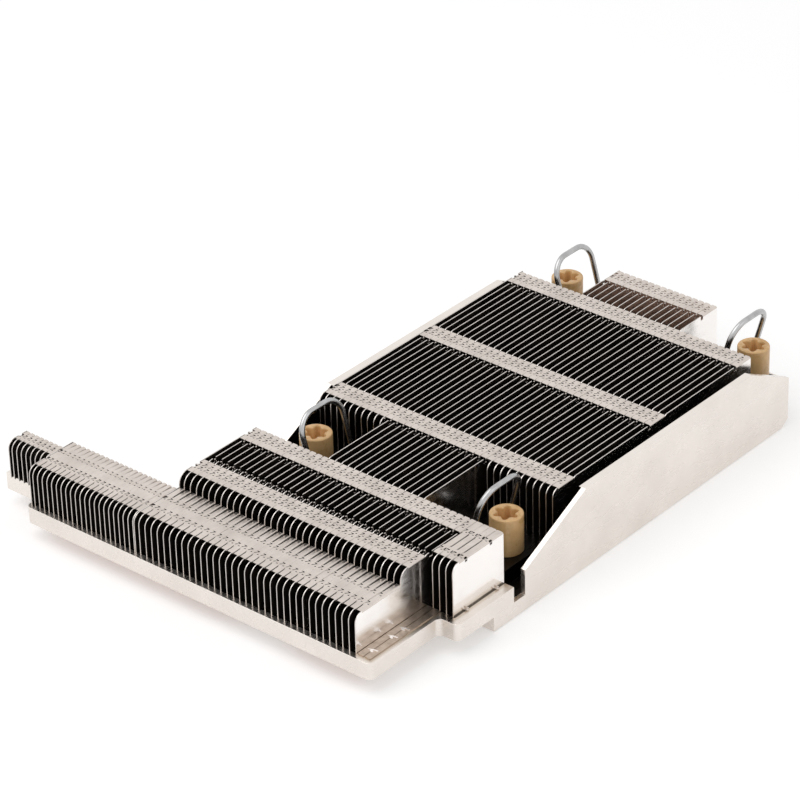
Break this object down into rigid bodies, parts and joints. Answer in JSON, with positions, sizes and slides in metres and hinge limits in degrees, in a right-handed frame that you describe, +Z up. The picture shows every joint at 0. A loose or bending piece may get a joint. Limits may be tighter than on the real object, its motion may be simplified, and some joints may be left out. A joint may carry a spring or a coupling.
{
  "type": "passive server cpu heatsink",
  "caption": "Low passive processor heatsink with stepped zipper fins, a side wing, embedded heat pipes, captive nuts and hinged wire bails.",
  "frame": {"origin": "centre of the four nuts, on the contact face under the block", "axes": "+Z up from the contact face through the fins, +Y along the fins with the air, +X across the fins away from the wing"},
  "size_m": [0.1226, 0.155, 0.0254],
  "materials": {
    "base_metal": "satin die cast, lightly bead blasted",
    "fin_metal": "mill finish stamped sheet",
    "copper": "machined copper",
    "nut_polymer": "turned tan engineering polymer",
    "ring_steel": "stamped spring steel",
    "wire_steel": "drawn spring wire"
  },
  "bodies": {
    "heatsink": {"base": "base_metal", "contact_plate": "copper", "heat_pipe_outer_left": "copper", "heat_pipe_inner_left": "copper", "heat_pipe_inner_right": "copper", "heat_pipe_outer_right": "copper", "tip_fins": "fin_metal", "fine_wing_fins": "fin_metal", "fine_end_plate": "fin_metal", "left_stepped_fins": "fin_metal", "long_fins": "fin_metal", "last_long_fin": "fin_metal", "right_stepped_fins": "fin_metal", "wing_end_plate": "fin_metal", "left_body_fins": "fin_metal", "right_body_fins": "fin_metal", "body_end_plate": "fin_metal", "corner_fins": "fin_metal", "corner_end_plate": "fin_metal"},
    "nut_front_left": {"nut_front_left": "nut_polymer", "ring_front_left": "ring_steel"},
    "bail_front_left": {"bail_front_left": "wire_steel"},
    "nut_front_right": {"nut_front_right": "nut_polymer", "ring_front_right": "ring_steel"},
    "bail_front_right": {"bail_front_right": "wire_steel"},
    "nut_back_left": {"nut_back_left": "nut_polymer", "ring_back_left": "ring_steel"},
    "bail_back_left": {"bail_back_left": "wire_steel"},
    "nut_back_right": {"nut_back_right": "nut_polymer", "ring_back_right": "ring_steel"},
    "bail_back_right": {"bail_back_right": "wire_steel"}
  },
  "joints": [
    {"name": "nut_front_left_turn", "type": "hinge", "parent": "heatsink", "child": "nut_front_left", "pos_m": [-0.028, -0.047, 0.008], "axis": [0, 0, 1], "continuous": true},
    {"name": "bail_front_left_swing", "type": "hinge", "parent": "heatsink", "child": "bail_front_left", "pos_m": [-0.0226, -0.047, 0.0095], "axis": [0, -1, 0], "range_deg": [-35, 34]},
    {"name": "nut_front_right_turn", "type": "hinge", "parent": "heatsink", "child": "nut_front_right", "pos_m": [0.028, -0.047, 0.008], "axis": [0, 0, 1], "continuous": true},
    {"name": "bail_front_right_swing", "type": "hinge", "parent": "heatsink", "child": "bail_front_right", "pos_m": [0.0226, -0.047, 0.0095], "axis": [0, 1, 0], "range_deg": [-35, 34]},
    {"name": "nut_back_left_turn", "type": "hinge", "parent": "heatsink", "child": "nut_back_left", "pos_m": [-0.028, 0.047, 0.008], "axis": [0, 0, 1], "continuous": true},
    {"name": "bail_back_left_swing", "type": "hinge", "parent": "heatsink", "child": "bail_back_left", "pos_m": [-0.0226, 0.047, 0.0095], "axis": [0, -1, 0], "range_deg": [-35, 34]},
    {"name": "nut_back_right_turn", "type": "hinge", "parent": "heatsink", "child": "nut_back_right", "pos_m": [0.028, 0.047, 0.008], "axis": [0, 0, 1], "continuous": true},
    {"name": "bail_back_right_swing", "type": "hinge", "parent": "heatsink", "child": "bail_back_right", "pos_m": [0.0226, 0.047, 0.0095], "axis": [0, 1, 0], "range_deg": [-35, 34]}
  ]
}
